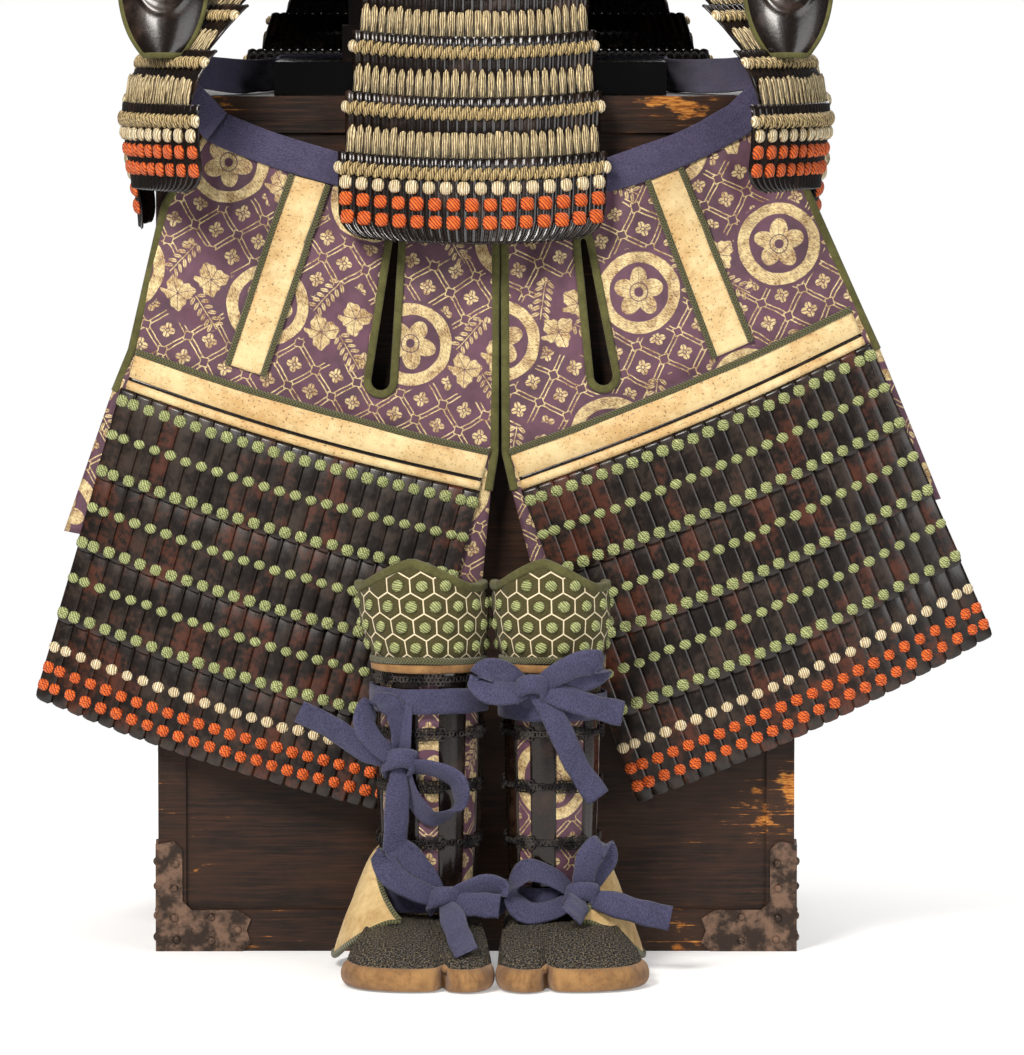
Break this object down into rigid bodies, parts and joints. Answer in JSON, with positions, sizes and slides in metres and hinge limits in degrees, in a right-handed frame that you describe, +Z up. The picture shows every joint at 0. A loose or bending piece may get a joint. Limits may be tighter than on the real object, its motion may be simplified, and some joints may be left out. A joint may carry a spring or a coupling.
{
  "type": "samurai armour on a storage chest stand",
  "caption": "Laced armour with skirt tassets, brocade thigh guard, shin and foot guards, seated on a wooden stand over its storage chest.",
  "frame": {"origin": "centre of the chest's underside, on the floor", "axes": "+X to the viewer's right, +Y to the back, +Z up; the armour faces -Y"},
  "size_m": [0.9657, 0.8294, 1.768],
  "materials": {
    "chest_wood": "worn brown-black lacquer over wood",
    "iron": "rusty forged iron",
    "stand_lacquer": "gloss black lacquer on wood",
    "brocade": "purple satin with a woven gold lattice",
    "binding": "olive green felt and braid",
    "leather": "tan leather, brown printed specks",
    "scales": "lacquered hide scales",
    "crepe": "indigo crepe",
    "lacing": "cream silk lacing over black lacquered lames",
    "black_lacquer": "black lacquer, worn at the edges",
    "padded_cloth": "dark quilted cloth with white stitched hexagons",
    "suede": "tan suede"
  },
  "bodies": {
    "root": {"chest_body": "chest_wood", "chest_lid": "chest_wood", "chest_corner_front_left": "iron", "chest_corner_front_right": "iron", "chest_corner_back_left": "iron", "chest_corner_back_right": "iron", "stand_board": "stand_lacquer", "stand_frame": "stand_lacquer", "haidate_cloth_left": "brocade", "haidate_edge_left": "binding", "haidate_centre_left": "binding", "slit_binding_left": "binding", "haidate_strap_left": "leather", "haidate_band_left": "leather", "haidate_tier_left_1": "scales", "haidate_tier_left_2": "scales", "haidate_tier_left_3": "scales", "haidate_tier_left_4": "scales", "haidate_cloth_right": "brocade", "haidate_edge_right": "binding", "haidate_centre_right": "binding", "slit_binding_right": "binding", "haidate_strap_right": "leather", "haidate_band_right": "leather", "haidate_tier_right_1": "scales", "haidate_tier_right_2": "scales", "haidate_tier_right_3": "scales", "haidate_tier_right_4": "scales", "haidate_waistband": "crepe", "tasset_front": "lacing", "tasset_side_left": "lacing", "tasset_side_right": "lacing", "tasset_hip_left": "lacing", "tasset_hip_right": "lacing", "tasset_back_left": "lacing", "tasset_back_right": "lacing", "cuirass_front": "lacing", "cuirass_back": "lacing", "shoulder_strap_left": "leather", "shoulder_guard_left": "lacing", "sleeve_left": "brocade", "hand_guard_left": "black_lacquer", "shoulder_strap_right": "leather", "shoulder_guard_right": "lacing", "sleeve_right": "brocade", "hand_guard_right": "black_lacquer", "helmet_bowl": "black_lacquer", "helmet_neck_guard": "lacing", "shin_guard_left": "black_lacquer", "knee_guard_left": "padded_cloth", "foot_guard_left": "suede", "ankle_flap_left": "suede", "shin_tie_left": "crepe", "ankle_tie_left": "crepe", "shin_guard_right": "black_lacquer", "knee_guard_right": "padded_cloth", "foot_guard_right": "suede", "ankle_flap_right": "suede", "shin_tie_right": "crepe", "ankle_tie_right": "crepe"}
  },
  "joints": []
}
